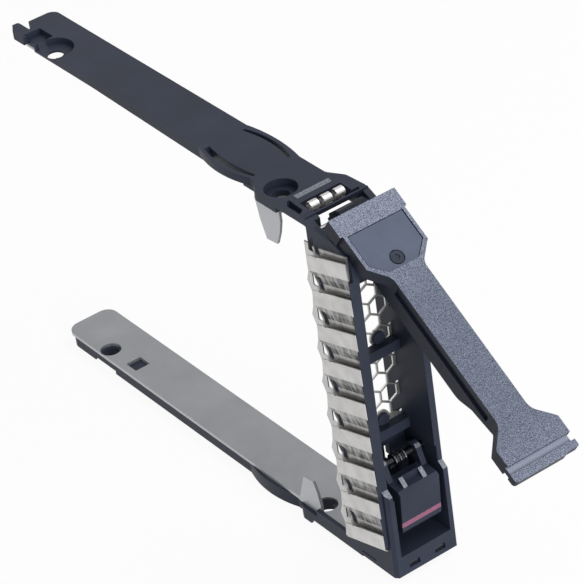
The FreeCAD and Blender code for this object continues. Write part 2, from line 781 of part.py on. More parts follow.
def strip_rear_edge():
    """The saw-toothed rear edge of the strip, from its lowest tooth up."""
    rear = SIZE.finger_rear
    points = []
    for number in reversed(range(FINGERS)):
        low = finger_low(number)
        points += [
            (rear + 1.3, low - 5.7),
            (rear + 2.4, low - 3.4),
            (rear + 1.7, low - 1.3),
        ]
    return points[1:]


def strip_limits(foot, crown):
    """The strip's outline from the side, with its lower edge along the last band."""
    front = SIZE.wall_front + 0.05
    slope = SIZE.finger_rise / SIZE.finger_run
    rear = SIZE.finger_rear
    reach = rear - front
    return side_prism(
        "StripLimit",
        (
            (rear + 3, foot - slope * 3),
            (rear + 3, crown),
            (rear - 1.0, crown),
            (front, crown + 2.3),
            (front, foot + slope * reach),
        ),
        (SIZE.bezel_left - 4, SIZE.bezel_left + 1),
    )


def make_strip():
    outer = SIZE.bezel_left - SIZE.strip_thick
    rear = SIZE.finger_rear
    crown = SIZE.finger_bottom + SIZE.finger_height + 2.0
    foot = finger_low(FINGERS - 1) - 0.6
    front = rear - 11.3
    backing = side_prism(
        "StripBacking",
        strip_rear_edge() + [(rear + 1.7, crown), (rear - 1.0, crown), (front, crown + 1.9), (front, foot)],
        (outer, SIZE.bezel_left),
    )
    fingers = [make_finger(number) for number in range(-1, FINGERS)]
    tools = []
    for number in range(-1, FINGERS - 1):
        low = finger_low(number)
        for start in (rear + 0.5, rear - 1.5):
            x = (outer - 2, SIZE.bezel_left + 1)
            tools.append(box("Window", x, (start - 1.5, start), (low - 3.7, low - 0.35)))
        notch = (
            (rear - 14, low + 3.1),
            (rear - 11.8, low + 3.1),
            (rear - 11.8, low + 2.4),
            (rear - 11.4, low - 0.95),
            (rear - 14, low - 1.0),
        )
        tools.append(side_prism("FrontNotch", notch, (outer - 2, SIZE.bezel_left + 1)))
    whole = fuse("StripSolid", backing, *fingers)
    solid = common("StripTrimmed", whole, strip_limits(foot, crown))
    return finish(cut("Strip", solid, *tools), "side_finger_strip")


def make_contact_spring():
    low = TOP - 1.7
    seat = SIZE.spring_seat
    solids = [box("ContactBase", (2.0, 10.4), (seat, seat + 1.5), (low, low + 0.3))]
    radius = SIZE.curl_radius
    sheet = 0.25
    axis = (seat - 0.1, low + radius)
    for index in range(3):
        start = 2.35 + 2.95 * index
        roll = rod("ContactRoll", radius, SIZE.curl_width, (start, axis[0], axis[1]), ALONG_X)
        hollow = rod("ContactHollow", radius - sheet, 4, (start - 1, axis[0], axis[1]), ALONG_X)
        mouth = box("ContactMouth", (start - 1, start + 3), (axis[0] - 3, axis[0]), (low - 1, low + 0.5))
        fin = side_prism(
            "ContactFin",
            ((axis[0] - 1.2, low), (axis[0] - 0.9, low + 1.7), (seat + 0.8, low)),
            (start - 0.6, start - 0.35),
        )
        foot = box("FinFoot", (start - 0.6, start + 0.2), (seat - 0.2, seat + 0.8), (low, low + 0.25))
        solids += [cut("ContactCurl", roll, hollow, mouth), fin, foot]
    return finish(fuse("ContactSpring", *solids), "top_contact_spring")


def lever_profile(name, points, x):
    """A side profile of the lever in its own frame, as (depth, distance down)."""
    front = -SIZE.lever_front
    crown = SIZE.lever_crown
    return side_prism(name, [(front + deep, crown - down, *bend) for deep, down, *bend in points], x)


def lever_face(name, points, deep):
    """A front profile of the lever, as (x, distance down)."""
    front = -SIZE.lever_front
    crown = SIZE.lever_crown
    depths = (front + deep[0], front + deep[1])
    return front_prism(name, [(x, crown - down, *bend) for x, down, *bend in points], depths)


def panel_points(edge):
    """The smooth panel's six corners, drawn in from the lever's edge."""
    left = SIZE.lever_left + edge
    right = SIZE.lever_right - edge
    return (
        (left, 4.3),
        (right, 4.3),
        (right, 11.0),
        (SIZE.neck_right - 0.2, 13.8),
        (SIZE.neck_left + 0.2, 13.8),
        (left, 11.0),
    )


def lever_plate():
    """The grained front of the lever: head, neck and the flared foot."""
    left = SIZE.lever_left
    right = SIZE.lever_right
    outer_left = left - 0.6
    outer_right = right + 0.57
    flare_left = left - 0.05
    flare_right = right + 0.25
    return lever_face(
        "LeverPlate",
        (
            (outer_left, 0),
            (outer_right, 0),
            (outer_right, 3.9),
            (right, 4.0),
            (right, 11.5),
            (SIZE.neck_right, 15.0, 2.5),
            (SIZE.neck_right, 47.9, 3.0),
            (flare_right, 51.6, 0.6),
            (flare_right, 55.2),
            (flare_left, 55.2),
            (flare_left, 51.7, 0.6),
            (SIZE.neck_left, 47.9, 3.0),
            (SIZE.neck_left, 15.0, 2.5),
            (left, 11.5),
            (left, 4.0),
            (outer_left, 3.9),
        ),
        (0, SIZE.lever_skin),
    )


def lever_foot():
    """The lip below the flare, the smooth groove over it and its kinked edge."""
    left = SIZE.lever_left - 0.6
    right = SIZE.lever_right
    lip = lever_face(
        "LeverLip",
        (
            (left, 56.7),
            (right + 0.2, 56.7),
            (right + 0.2, 58.2, 0.4),
            (10.8, 58.2),
            (10.3, 58.5),
            (left, 58.5, 0.7),
        ),
        (0, 1.7),
    )
    groove = lever_face(
        "LeverGroove",
        ((left + 0.3, 55.0), (right - 0.45, 55.0), (right - 0.45, 57.0), (left + 0.3, 57.0)),
        (0.5, 1.7),
    )
    return lip, groove


def neck_undercuts():
    """Wedges that slant the neck's sides inwards behind its front face."""
    front = -SIZE.lever_front
    back = front + SIZE.lever_skin
    high = SIZE.lever_crown
    wedges = []
    for name, edge, inward in (("Left", SIZE.neck_left, 1), ("Right", SIZE.neck_right, -1)):
        outside = edge - 1.0 * inward
        corners = (
            (outside, front + 0.3),
            (edge, front + 0.3),
            (edge + SIZE.lever_draft * inward, back),
            (outside, back),
        )
        wedges.append(plan_prism("Neck" + name, corners, (high - 45.5, high - 17.0)))
    return wedges


def make_lever():
    front = -SIZE.lever_front
    crown = SIZE.lever_crown
    deep = SIZE.lever_depth
    neck = (SIZE.neck_left, SIZE.neck_right)
    spine = lever_profile(
        "LeverSpine",
        (
            (1, 0.5),
            (6.2, 0.5),
            (deep, 4),
            (deep, 38.5, 4.0),
            (4.85, 42.0),
            (3.9, 47.5),
            (2.9, 51.0),
            (1, 51.0),
        ),
        neck,
    )
    claw = lever_profile(
        "LeverClaw",
        ((2.0, 1.0), (2.6, -1.6), (3.4, -2.3), (6.2, -3.3, 0.5), (6.2, 2.0)),
        (3.0, 9.4),
    )
    lug = lever_profile(
        "LeverLug",
        ((4.0, 1.2), (4.0, -2.5), (7.25, -2.8), (7.25, -0.6), (6.0, 1.2)),
        (2.95, 4.1),
    )
    hub = rod("LeverHub", 2.4, 9.5, (1.6, 0, 0), ALONG_X)
    web = box("LeverWeb", (1.6, 11.1), (front + 1, 0), (-2.4, 2.4))
    solid = fuse("LeverSolid", lever_plate(), spine, hub, web, claw, lug, *lever_foot())
    bearing = SIZE.pivot_radius + SIZE.running_gap
    tools = [
        rod("LeverBearing", bearing, 12, (0.5, 0, 0), ALONG_X),
        lever_face("PanelRecess", panel_points(0.7), (-1, SIZE.panel_deep)),
        rod("RivetHole", 0.7, 6, (SIZE.rivet_across, front - 1, crown - SIZE.rivet_down), ALONG_Y),
        lever_profile(
            "LeverHollow",
            ((1.9, 17.0), (8, 17.0), (8, 46.0), (1.9, 46.0)),
            (neck[0] + 1.2, neck[1] - 1.2),
        ),
        lever_profile("ClawSlot", ((3.3, -0.4), (3.3, -4), (4.9, -4), (4.9, -0.4)), (4.5, 6.8)),
        lever_profile("ClawStep", ((2.0, -0.7), (2.0, -4), (3.2, -4), (3.2, -0.7)), (6.8, 10)),
    ]
    tools += neck_undercuts()
    return tilt_with_lever(cut("Lever", solid, *tools), "lever_handle")


def tilt_with_lever(solid, label):
    """Finishes a piece of the lever, swung open about its pin."""
    at = (0, SIZE.pivot_back, PIVOT_RISE)
    return finish(solid, label, at, Rotation(Vector(1, 0, 0), -SIZE.lever_open.value))


def make_lever_trim():
    front = -SIZE.lever_front
    level = SIZE.lever_crown - SIZE.rivet_down
    across = SIZE.rivet_across
    sheet = lever_face("PanelSheet", panel_points(0.75), (0.1, SIZE.panel_deep))
    clearance = rod("PanelHole", 1.4, 2, (across, front - 0.5, level), ALONG_Y)
    tilt_with_lever(cut("Panel", sheet, clearance), "lever_panel")
    ring = rod("RivetRing", 1.3, 0.4, (across, front + 0.1, level), ALONG_Y)
    shank = rod("RivetShank", 0.7, 2.4, (across, front + 0.1, level), ALONG_Y)
    dimple = rod("RivetDimple", 0.55, 0.5, (across, front - 0.2, level), ALONG_Y)
    tilt_with_lever(cut("Rivet", fuse("RivetSolid", ring, shank), dimple), "panel_rivet")


def make_pins():
    left = SIZE.bezel_left + 0.5
    length = SIZE.bezel_right - 0.5 - left
    lever_at = (left, SIZE.pivot_back, PIVOT_RISE)
    latch_at = (left, SIZE.latch_back, SIZE.latch_rise)
    stop_at = (INNER_LEFT - 0.9, SIZE.stop_back, TOP - SIZE.stop_drop)
    finish(rod("LeverPin", SIZE.pivot_radius, length, lever_at, ALONG_X), "lever_pivot_pin")
    finish(rod("LatchPin", SIZE.latch_radius, length, latch_at, ALONG_X), "button_pivot_pin")
    finish(rod("StopPin", SIZE.stop_radius, SIZE.stop_length, stop_at, ALONG_X), "lever_stop_pin")


def button_face(level):
    """The leaning front face of the button at a level."""
    lean = SIZE.button_lean * (SIZE.button_high - level) / (SIZE.button_high - SIZE.button_low)
    return SIZE.block_front + lean


def button_shell():
    front = SIZE.block_front
    low = SIZE.button_low
    high = SIZE.button_high
    return side_prism(
        "ButtonShell",
        (
            (button_face(low) + 0.3, low),
            (button_face(low + 0.5), low + 0.5),
            (front, high),
            (front + 0.7, high + 0.6),
            (front + 5.0, high + 1.2),
            (front + 5.0, high),
            (front + 3.0, high - 0.2),
            (front + 2.0, high - 1.2),
            (button_face(low) + 1.5, low),
        ),
        (SIZE.button_left, SIZE.button_right),
    )


def button_arms():
    """The two arms that carry the button on its pin."""
    front = SIZE.block_front
    back = SIZE.latch_back
    rise = SIZE.latch_rise
    thick = 1.2
    solids = []
    for name, x in (("Left", SIZE.button_left), ("Right", SIZE.button_right - thick)):
        profile = (
            (front + 1.5, SIZE.button_low + 2.0),
            (front + 0.8, SIZE.button_high),
            (front + 3.5, SIZE.button_high + 0.9),
            (back - 1.7, rise),
            (back, rise),
            (back, rise - 1.7),
            (front + 3.0, SIZE.button_low + 2.0),
        )
        solids.append(side_prism("Arm" + name, profile, (x, x + thick)))
        solids.append(rod("Eye" + name, 1.7, thick, (x, back, rise), ALONG_X))
    return solids


def button_catch():
    """The two ramps and the crest that the closed lever snaps over."""
    front = SIZE.block_front
    high = SIZE.button_high
    left = SIZE.button_left + 1.6
    right = SIZE.button_right - 2.2
    wide = 0.95
    solids = []
    for name, x in (("Left", left), ("Right", right - wide)):
        profile = (
            (front + 0.75, high),
            (front + 0.75, high + 0.65),
            (front + 2.25, high + 2.2),
            (front + 2.65, high + 2.2),
            (front + 2.65, high),
        )
        solids.append(side_prism("Catch" + name, profile, (x, x + wide)))
    crest = box("Crest", (left, right), (front + 2.4, front + 2.65), (high, high + 2.2))
    solids.append(crest)
    return solids


def make_button():
    back = SIZE.latch_back
    low = SIZE.stripe_low
    high = SIZE.stripe_low + SIZE.stripe_tall
    solids = [button_shell(), *button_arms(), *button_catch()]
    bearing = SIZE.latch_radius + SIZE.running_gap
    inlay = SIZE.inlay_deep
    groove = (
        (button_face(low) - 1, low),
        (button_face(low) + inlay, low),
        (button_face(high) + inlay, high),
        (button_face(high) - 1, high),
    )
    tools = (
        rod("ButtonBearing", bearing, 14, (0, back, SIZE.latch_rise), ALONG_X),
        side_prism("StripeGroove", groove, (SIZE.button_left - 1, SIZE.button_right + 1)),
    )
    finish(cut("Button", fuse("ButtonSolid", *solids), *tools), "release_button")
    stripe = (
        (button_face(low), low),
        (button_face(low) + inlay, low),
        (button_face(high) + inlay, high),
        (button_face(high), high),
    )
    finish(side_prism("Stripe", stripe, (SIZE.button_left, SIZE.button_right)), "button_stripe")


def make_button_spring():
    """A coil along its axis: a six-sided wire swept round a twelve-step helix."""
    wire = SIZE.spring_wire
    radius = SIZE.latch_radius + SIZE.running_gap + wire + 0.05
    steps = SPRING_TURNS * SPRING_STEPS
    route = DOC.addObject("Part::Polygon", "SpringRoute")
    turn = 2 * math.pi / SPRING_STEPS
    rise = SIZE.spring_length.value / steps
    route.Nodes = [
        Vector(radius.value * math.cos(turn * step), radius.value * math.sin(turn * step), rise * step)
        for step in range(steps + 1)
    ]
    section = DOC.addObject("Part::RegularPolygon", "SpringWire")
    section.Polygon = 6
    bind(section, "Circumradius", wire)
    place(section, (radius, 0, 0), FACING_FRONT)
    coil = DOC.addObject("Part::Sweep", "SpringCoil")
    coil.Sections = [section]
    coil.Spine = (route, ["Edge%d" % (step + 1) for step in range(steps)])
    coil.Solid = True
    coil.Frenet = False
    coil.Transition = "Right corner"
    middle = (SIZE.button_left + SIZE.button_right) * 0.5
    start = middle - SIZE.spring_length * 0.5
    finish(coil, "button_spring", (start, SIZE.latch_back, SIZE.latch_rise), ALONG_X)


def make_windows():
    front = SIZE.block_front
    for name, x in (("left", 2.3), ("right", 8.5)):
        lens = box("Light" + name, (x, x + 2.6), (front + 0.5, front + 1.2), (2.6, 3.8))
        finish(lens, "light_window_" + name)


def build():
    make_upper_rail()
    make_lower_rail()
    make_upper_plate()
    make_lower_plate()
    make_bezel()
    make_screen()
    make_strip()
    make_contact_spring()
    make_lever()
    make_lever_trim()
    make_pins()
    make_button()
    make_button_spring()
    make_windows()


def check_and_export():
    DOC.recompute()
    for thing in DOC.Objects:
        if "Invalid" in thing.State or "Error" in thing.State:
            raise RuntimeError("%s failed: %s" % (thing.Name, thing.State))
    for node in NODES:
        shape = node.Shape
        if shape.isNull() or not shape.isValid() or len(shape.Solids) != 1:
            raise RuntimeError("%s is not one valid solid" % node.Label)
    os.makedirs("parts", exist_ok=True)
    for node in NODES:
        node.Shape.exportStep("parts/%s.step" % node.Label)
        print("%-20s %8.1f mm3" % (node.Label, node.Shape.Volume))


build()
check_and_export()
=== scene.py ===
"""Looks for the hot swap drive carrier, laid out as a Blender add-on.

Each operator gives one group of pieces its finish, and the last one sets up
the floor, the lamps and the camera.
"""

import math

import bpy
from bpy.props import FloatProperty, FloatVectorProperty, PointerProperty, StringProperty
from bpy.types import Operator, Panel, PropertyGroup
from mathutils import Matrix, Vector

bl_info = {
    "name": "Drive Carrier Looks",
    "version": (1, 0, 0),
    "blender": (4, 5, 0),
    "location": "View3D > Sidebar > Drive Carrier",
    "description": "Finishes for a hot swap drive carrier",
    "category": "Object",
}

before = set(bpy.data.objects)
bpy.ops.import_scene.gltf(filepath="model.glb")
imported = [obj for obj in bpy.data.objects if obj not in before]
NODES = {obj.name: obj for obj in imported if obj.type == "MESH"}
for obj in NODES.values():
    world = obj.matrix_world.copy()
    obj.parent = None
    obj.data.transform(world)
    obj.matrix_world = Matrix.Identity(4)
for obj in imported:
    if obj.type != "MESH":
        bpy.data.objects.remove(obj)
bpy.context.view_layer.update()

MM = 0.001

# The lever is swung open by 55.24 degrees at rest. Its grained face looks one way, and
# the other way leads from its pin to its foot.
OPEN = math.radians(55.24)
LEVER_FACE = (0.0, -math.cos(OPEN), math.sin(OPEN))
LEVER_ALONG = (0.0, -math.sin(OPEN), -math.cos(OPEN))
LEVER_PIN = (0.0, -0.0608, 0.0719)
# The ways that three other kinds of face look, each picked for painted light: the ramps that the
# closing lever slides over and the tabs beside the rails for a painted highlight, and the strip
# where it is bent under for a painted dark reflection.
RAMP_FACE = (0.0, -0.68, 0.733)
BEND_FACE = (0.0, 0.0, -1.0)
TAB_FACE = (-1.0, 0.0, 0.0)
# A finish for faces that look one way, most often painted light or shade, fades in between two
# cosines of the angle to it.
LEVER_LIT_FACING = (0.93, 0.985)
RAMP_HIGHLIGHT_FACING = (0.95, 0.985)
BEND_REFLECTION_FACING = (0.05, 0.24)
TAB_HIGHLIGHT_FACING = (0.6, 0.9)

# Heights above the resting plane, in millimetres: the middle of the ramps with the painted
# highlight and how far they reach from it, and where the painted highlight on the top of the ledge
# fades in.
RAMP_HEIGHT = 23.0
RAMP_REACH = 2.5
LEDGE_HIGHLIGHT_FADE = (77.62, 77.66)
# From the lever's pin to its front, in millimetres, and the depths behind that front at
# which the grain and then the lit face fade in, from deep to shallow; deeper faces take the
# painted shade of the sides.
LEVER_FRONT = 5.69
GRAIN_FADE = (0.4, 0.2)
FACE_FADE = (1.2, 0.8)
# From the lever's pin to the middle of its face, in millimetres, and the distances from
# there between which the painted highlight on the lever's ends fades in.
LEVER_MIDDLE = 28.0
END_HIGHLIGHT_FADE = (14.0, 30.0)

# Most of a noise texture lies between these values. The lever's specks are crisper.
NOISE_SPREAD = (0.3, 0.7)
SPECK_SPREAD = (0.36, 0.64)
# Refraction indices.
ABS_IOR = 1.54
ACETAL_IOR = 1.48
POLYCARBONATE_IOR = 1.58
# The share, the two colours and the result among the sockets of a Mix node.
SHARE, FIRST, SECOND = 0, 6, 7
MIXED = 2

# For rounded edges: corners nearer than this, in metres, are one corner, faces that
# differ by less than the first angle are one face, and an edge sharper than the second
# is rounded.
WELD_REACH = 1e-6
FLAT_ANGLE = math.radians(1)
EDGE_ANGLE = math.radians(40)

# The floor's half width in metres, its tone, and how white the camera sees it.
FLOOR_REACH = 4.0
FLOOR_TONE = 0.9
FLOOR_WHITE = 0.92
# Each lamp's name, place in metres and power in watts. All are of one width, in metres,
# and face the middle of the carrier.
LAMPS = (
    ("key", (0.40, -0.24, 0.80), 3.4),
    ("front", (-0.1, -1.0, 0.30), 9.6),
    ("back", (-0.3, 0.5, 0.8), 1.0),
)
LAMP_WIDTH = 0.6
LAMP_TARGET = (0, -0.01, 0.04)
# The sensor's width in millimetres, and the depth of the camera's view in metres.
SENSOR_WIDTH = 36.0
VIEW_DEPTH = (0.01, 20.0)


def linear(text):
    """An sRGB hex colour as linear red, green, blue and alpha, by the sRGB curve."""
    channels = [int(text[index : index + 2], 16) / 255 for index in (1, 3, 5)]
    curve = [c / 12.92 if c <= 0.04045 else ((c + 0.055) / 1.055) ** 2.4 for c in channels]
    return (*curve, 1.0)


def cycles_per_metre(millimetres):
    """The scale of a texture whose features are this far apart."""
    return 1 / (millimetres * MM)


def add(tree, kind, settings=None, links=None, **names):
    """Adds a node, sets its properties and sockets, and links its inputs."""
    node = tree.nodes.new(kind)
    for name, value in names.items():
        setattr(node, name, value)
    for socket, value in (settings or {}).items():
        node.inputs[socket].default_value = value
    for socket, source in (links or {}).items():
        tree.links.new(source, node.inputs[socket])
    return node


def material(name):
    """A new node material, and its empty node tree."""
    mat = bpy.data.materials.new(name)
    mat.use_nodes = True
    tree = mat.node_tree
    tree.nodes.clear()
    return mat, tree


def two_tones(tree, pattern, dark, light, spread=NOISE_SPREAD):
    """Fades from one sRGB hex colour to the other as a pattern rises through spread."""
    share = add(
        tree,
        "ShaderNodeMapRange",
        {"From Min": spread[0], "From Max": spread[1]},
        {"Value": pattern},
    )
    mix = add(
        tree,
        "ShaderNodeMix",
        {FIRST: linear(dark), SECOND: linear(light)},
        {SHARE: share.outputs["Result"]},
        data_type="RGBA",
    )
    return mix.outputs[MIXED]


def looking(tree, way, facing):
    """Rises from 0 to 1 as a face of the piece turns to look that way."""
    normal = add(tree, "ShaderNodeTexCoord").outputs["Normal"]
    towards = add(
        tree,
        "ShaderNodeVectorMath",
        {1: way},
        {0: normal},
        operation="DOT_PRODUCT",
    )
    share = add(
        tree,
        "ShaderNodeMapRange",
        {"From Min": facing[0], "From Max": facing[1]},
        {"Value": towards.outputs["Value"]},
    )
    return share.outputs["Result"]


def satin_moulded_abs(look):
    """PC-ABS from a fine textured mould: even, with soft and weak highlights, and a painted
    highlight on the ramps and the ledge.
    """
    mat, tree = material("Black PC-ABS, satin moulded")
    place = add(tree, "ShaderNodeTexCoord").outputs["Object"]
    # The mould's grain is about 0.1 mm. It is drawn at 0.3 mm so that it shows.
    grain = add(
        tree,
        "ShaderNodeTexNoise",
        {"Scale": cycles_per_metre(0.3), "Detail": 2.0, "Roughness": 0.6},
        {"Vector": place},
    ).outputs["Fac"]
    # Flow of the melt leaves slow changes of tone, some 12 mm across.
    flow = add(
        tree,
        "ShaderNodeTexNoise",
        {"Scale": cycles_per_metre(12.0), "Detail": 2.0},
        {"Vector": place},
    ).outputs["Fac"]
    # A painted highlight lies on the ramps of the catch and the shoulders of the bezel's block.
    height = add(tree, "ShaderNodeSeparateXYZ", links={"Vector": place}).outputs["Z"]
    level = add(
        tree,
        "ShaderNodeMath",
        {1: RAMP_HEIGHT * MM, 2: RAMP_REACH * MM},
        {0: height},
        operation="COMPARE",
    )
    ramps = add(
        tree,
        "ShaderNodeMath",
        links={0: looking(tree, RAMP_FACE, RAMP_HIGHLIGHT_FACING), 1: level.outputs[0]},
        operation="MULTIPLY",
    )
    # The same painted highlight lies on the ledge behind the contacts, the highest of these
    # pieces.
    ledge = add(
        tree,
        "ShaderNodeMapRange",
        {"From Min": LEDGE_HIGHLIGHT_FADE[0] * MM, "From Max": LEDGE_HIGHLIGHT_FADE[1] * MM},
        {"Value": height},
    )
    highlit = add(
        tree,
        "ShaderNodeMath",
        links={0: ramps.outputs[0], 1: ledge.outputs["Result"]},
        operation="MAXIMUM",
    )
    # Where the painted highlight lies, its tones take the place of the body's.
    colour = add(
        tree,
        "ShaderNodeMix",
        links={
            SHARE: highlit.outputs[0],
            FIRST: two_tones(tree, flow, look.body_dark, look.body_light),
            SECOND: two_tones(tree, grain, look.ramp_highlight_dark, look.ramp_highlight_light),
        },
        data_type="RGBA",
    )
    gloss = add(tree, "ShaderNodeMapRange", {"To Min": 0.38, "To Max": 0.52}, {"Value": grain})
    bump = add(
        tree,
        "ShaderNodeBump",
        {"Strength": 0.2, "Distance": 0.02 * MM},
        {"Height": grain},
    )
    shader = add(
        tree,
        "ShaderNodeBsdfPrincipled",
        {"IOR": ABS_IOR, "Specular IOR Level": 0.13},
        {
            "Base Color": colour.outputs[MIXED],
            "Roughness": gloss.outputs["Result"],
            "Normal": bump.outputs["Normal"],
        },
    )
    add(tree, "ShaderNodeOutputMaterial", links={"Surface": shader.outputs["BSDF"]})
    return mat


def spark_grained_abs(look):
    """PC-ABS with a spark-eroded front that sparkles in lit tones, and plain sides painted dark as
    shade.
    """
    mat, tree = material("Slate PC-ABS, spark-eroded face")
    place = add(tree, "ShaderNodeTexCoord").outputs["Object"]
    # Faces that look the way of the front take the lit tones and the relief; other faces take the
    # painted shade of the sides.
    face = looking(tree, LEVER_FACE, LEVER_LIT_FACING)
    # How deep a point lies behind the lever's front.
    front_level = Vector(LEVER_PIN).dot(Vector(LEVER_FACE)) + LEVER_FRONT * MM
    level = add(
        tree,
        "ShaderNodeVectorMath",
        {1: LEVER_FACE},
        {0: place},
        operation="DOT_PRODUCT",
    )
    depth = add(
        tree,
        "ShaderNodeMath",
        {0: front_level},
        {1: level.outputs["Value"]},
        operation="SUBTRACT",
    ).outputs[0]
    outer = add(
        tree,
        "ShaderNodeMapRange",
        {"From Min": GRAIN_FADE[0] * MM, "From Max": GRAIN_FADE[1] * MM},
        {"Value": depth},
    )
    shallow = add(
        tree,
        "ShaderNodeMapRange",
        {"From Min": FACE_FADE[0] * MM, "From Max": FACE_FADE[1] * MM},
        {"Value": depth},
    )
    # Spark erosion leaves pebbles about 0.1 mm apart. Their relief is drawn at 0.25 mm
    # and their sparkle at 0.17 mm, so that both show.
    pebbles = add(
        tree,
        "ShaderNodeTexVoronoi",
        {"Scale": cycles_per_metre(0.25)},
        {"Vector": place},
        feature="SMOOTH_F1",
    ).outputs["Distance"]
    speck = add(
        tree,
        "ShaderNodeTexNoise",
        {"Scale": cycles_per_metre(0.17), "Detail": 1.0},
        {"Vector": place},
    ).outputs["Fac"]
    # A painted highlight makes the ends of the lever paler than its middle.
    middle = Vector(LEVER_PIN).dot(Vector(LEVER_ALONG)) + LEVER_MIDDLE * MM
    along = add(
        tree,
        "ShaderNodeVectorMath",
        {1: LEVER_ALONG},
        {0: place},
        operation="DOT_PRODUCT",
    )
    offset = add(
        tree,
        "ShaderNodeMath",
        {1: middle},
        {0: along.outputs["Value"]},
        operation="SUBTRACT",
    )
    away = add(tree, "ShaderNodeMath", links={0: offset.outputs[0]}, operation="ABSOLUTE")
    end_highlight = add(
        tree,
        "ShaderNodeMapRange",
        {"From Min": END_HIGHLIGHT_FADE[0] * MM, "From Max": END_HIGHLIGHT_FADE[1] * MM},
        {"Value": away.outputs[0]},
    )
    middle_grain = two_tones(tree, speck, look.grain_dark, look.grain_light, SPECK_SPREAD)
    lamplit = two_tones(tree, speck, look.end_highlight_dark, look.end_highlight_light, SPECK_SPREAD)
    grained = add(
        tree,
        "ShaderNodeMix",
        links={SHARE: end_highlight.outputs["Result"], FIRST: middle_grain, SECOND: lamplit},
        data_type="RGBA",
    )
    # The groove across the foot is smooth, and the sides and deep recesses are plain and painted
    # dark as shade.
    front = add(
        tree,
        "ShaderNodeMix",
        {FIRST: linear(look.groove)},
        {SHARE: outer.outputs["Result"], SECOND: grained.outputs[MIXED]},
        data_type="RGBA",
    )
    # The front's lit tones give way to the painted shade of the sides on faces turned away or
    # lying deep.
    pale = add(
        tree,
        "ShaderNodeMath",
        links={0: shallow.outputs["Result"], 1: face},
        operation="MULTIPLY",
    )
    colour = add(
        tree,
        "ShaderNodeMix",
        {FIRST: linear(look.lever_side_shade)},
        {SHARE: pale.outputs[0], SECOND: front.outputs[MIXED]},
        data_type="RGBA",
    )
    relief = add(
        tree,
        "ShaderNodeMath",
        links={0: pebbles, 1: face},
        operation="MULTIPLY",
    )
    bump = add(
        tree,
        "ShaderNodeBump",
        {"Strength": 0.5, "Distance": 0.05 * MM},
        {"Height": relief.outputs[0]},
    )
    gloss = add(tree, "ShaderNodeMapRange", {"To Min": 0.36, "To Max": 0.56}, {"Value": speck})
    shader = add(
        tree,
        "ShaderNodeBsdfPrincipled",
        {"IOR": ABS_IOR, "Specular IOR Level": 0.12},
        {
            "Base Color": colour.outputs[MIXED],
            "Roughness": gloss.outputs["Result"],
            "Normal": bump.outputs["Normal"],
        },
    )
    add(tree, "ShaderNodeOutputMaterial", links={"Surface": shader.outputs["BSDF"]})
    return mat


def satin_panel_abs(look):
    """PC-ABS from a satin mould: the smooth slate panel, with painted shade on its edges in its
    gap.
    """
    mat, tree = material("Slate PC-ABS, satin moulded")
    place = add(tree, "ShaderNodeTexCoord").outputs["Object"]
    # Flow of the melt leaves slow changes of tone, some 4 mm across.
    flow = add(
        tree,
        "ShaderNodeTexNoise",
        {"Scale": cycles_per_metre(4.0), "Detail": 3.0},
        {"Vector": place},
    ).outputs["Fac"]
    # Faces turned away from the front, the rounded edges among them, are painted dark as shade.
    colour = add(
        tree,
        "ShaderNodeMix",
        {FIRST: linear(look.lever_side_shade)},
        {
            SHARE: looking(tree, LEVER_FACE, LEVER_LIT_FACING),
            SECOND: two_tones(tree, flow, look.panel_dark, look.panel_light),
        },
        data_type="RGBA",
    )
    gloss = add(tree, "ShaderNodeMapRange", {"To Min": 0.36, "To Max": 0.46}, {"Value": flow})
    shader = add(
        tree,
        "ShaderNodeBsdfPrincipled",
        {"IOR": ABS_IOR, "Specular IOR Level": 0.2},
        {
            "Base Color": colour.outputs[MIXED],
            "Roughness": gloss.outputs["Result"],
        },
    )
    add(tree, "ShaderNodeOutputMaterial", links={"Surface": shader.outputs["BSDF"]})
    return mat


def zinc_plated_steel(look):
    """Zinc-plated sheet steel, tumbled: matt grey with a faint rolling grain."""
    mat, tree = material("Zinc-plated steel sheet, matt")
    place = add(tree, "ShaderNodeTexCoord").outputs["Object"]
    stretched = add(
        tree,
        "ShaderNodeMapping",
        {"Scale": (1.0, 0.12, 1.0)},
        {"Vector": place},
    ).outputs["Vector"]
    # Rolling lines run along the rail, about 0.4 mm apart.
    lines = add(
        tree,
        "ShaderNodeTexNoise",
        {"Scale": cycles_per_metre(0.4), "Detail": 3.0, "Roughness": 0.6},
        {"Vector": stretched},
    ).outputs["Fac"]
    # The zinc clouds over some 9 mm.
    cloud = add(
        tree,
        "ShaderNodeTexNoise",
        {"Scale": cycles_per_metre(9.0), "Detail": 3.0},
        {"Vector": place},
    ).outputs["Fac"]
    # Faces of the plates that look towards -X are painted lighter, a painted highlight.
    colour = add(
        tree,
        "ShaderNodeMix",
        {SECOND: linear(look.steel_side_highlight)},
        {
            SHARE: looking(tree, TAB_FACE, TAB_HIGHLIGHT_FACING),
            FIRST: two_tones(tree, cloud, look.steel_dark, look.steel_light),
        },
        data_type="RGBA",
    )
    gloss = add(tree, "ShaderNodeMapRange", {"To Min": 0.46, "To Max": 0.58}, {"Value": lines})
    bump = add(
        tree,
        "ShaderNodeBump",
        {"Strength": 0.12, "Distance": 0.01 * MM},
        {"Height": lines},
    )
    shader = add(
        tree,
        "ShaderNodeBsdfPrincipled",
        {"Metallic": 0.75},
        {
            "Base Color": colour.outputs[MIXED],
            "Roughness": gloss.outputs["Result"],
            "Normal": bump.outputs["Normal"],
        },
    )
    add(tree, "ShaderNodeOutputMaterial", links={"Surface": shader.outputs["BSDF"]})
    return mat


